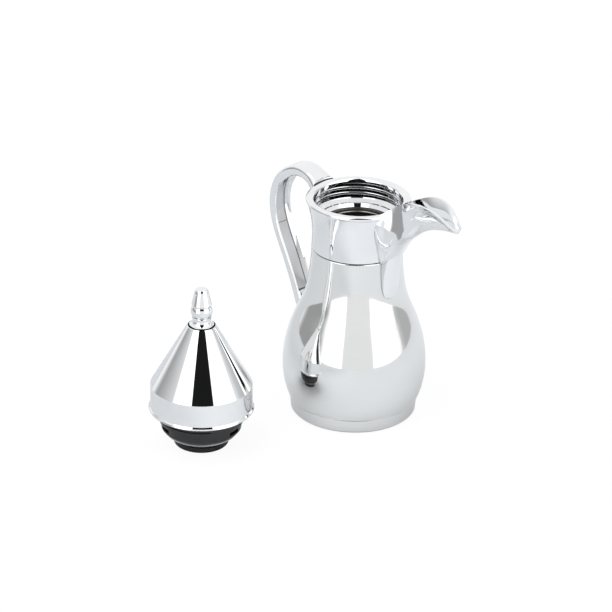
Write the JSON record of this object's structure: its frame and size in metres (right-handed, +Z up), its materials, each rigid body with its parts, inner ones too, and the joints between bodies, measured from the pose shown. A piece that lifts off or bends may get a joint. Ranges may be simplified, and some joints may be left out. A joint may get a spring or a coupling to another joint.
{
  "type": "vacuum dallah coffee pot",
  "caption": "Bulbous steel vacuum dallah with a beaked spout and looped handle, its cone lid with a push-button pour valve standing beside it.",
  "frame": {"origin": "centre of the pot's base pad, on the table", "axes": "+Z up, +X towards the spout, -X towards the handle, lid standing on the -Y side"},
  "size_m": [0.2201, 0.2565, 0.2267],
  "materials": {
    "plated_chrome": "mirror chrome plating",
    "plated_strip": "satin chrome plating",
    "body_steel": "finely polished stainless steel",
    "flask_steel": "drawn stainless steel",
    "plated_liner": "mirror chrome plating, slightly worn",
    "black_plastic": "semi-gloss black polypropylene",
    "white_plastic": "white polypropylene",
    "matte_black": "fine-textured black plastic",
    "rubber_pad": "matt rubber",
    "dark_gasket": "dark silicone",
    "pale_silicone": "pale grey silicone",
    "foam": "closed-cell foam",
    "screw_steel": "bright steel"
  },
  "bodies": {
    "root": {"foot_ring": "body_steel", "base_cover": "matte_black", "base_pad": "rubber_pad", "flask_cushion": "rubber_pad", "outer_body": "body_steel", "flask_outer_wall": "flask_steel", "flask_inner_wall": "flask_steel", "vacuum_seal": "flask_steel", "mouth_gasket": "dark_gasket", "neck_ring": "black_plastic", "collar": "plated_chrome", "collar_liner": "plated_liner", "spout": "plated_chrome", "handle_shell": "plated_chrome", "handle_strip_upper": "plated_strip", "handle_strip_lower": "plated_strip", "handle_screws": "screw_steel"},
    "lid": {"lid_cone": "plated_chrome", "lid_base_plate": "black_plastic", "lid_insulation": "foam", "rim_gasket": "dark_gasket", "button_guide": "black_plastic", "return_spring": "screw_steel", "stopper_body": "black_plastic", "stopper_seal": "pale_silicone", "stopper_screws": "screw_steel"},
    "valve": {"button": "plated_chrome", "push_rod": "white_plastic", "valve_disc": "black_plastic", "valve_seal": "pale_silicone"}
  },
  "joints": [
    {"name": "lid_lift", "type": "slide", "parent": "root", "child": "lid", "axis": [0, 0, 1], "range_m": [0, 0.24]},
    {"name": "button_press", "type": "slide", "parent": "lid", "child": "valve", "axis": [0, 0, -1], "range_m": [0, 0.003], "stiffness_N_per_m": 700, "springref_m": -0.004, "deforming": ["return_spring"]}
  ]
}
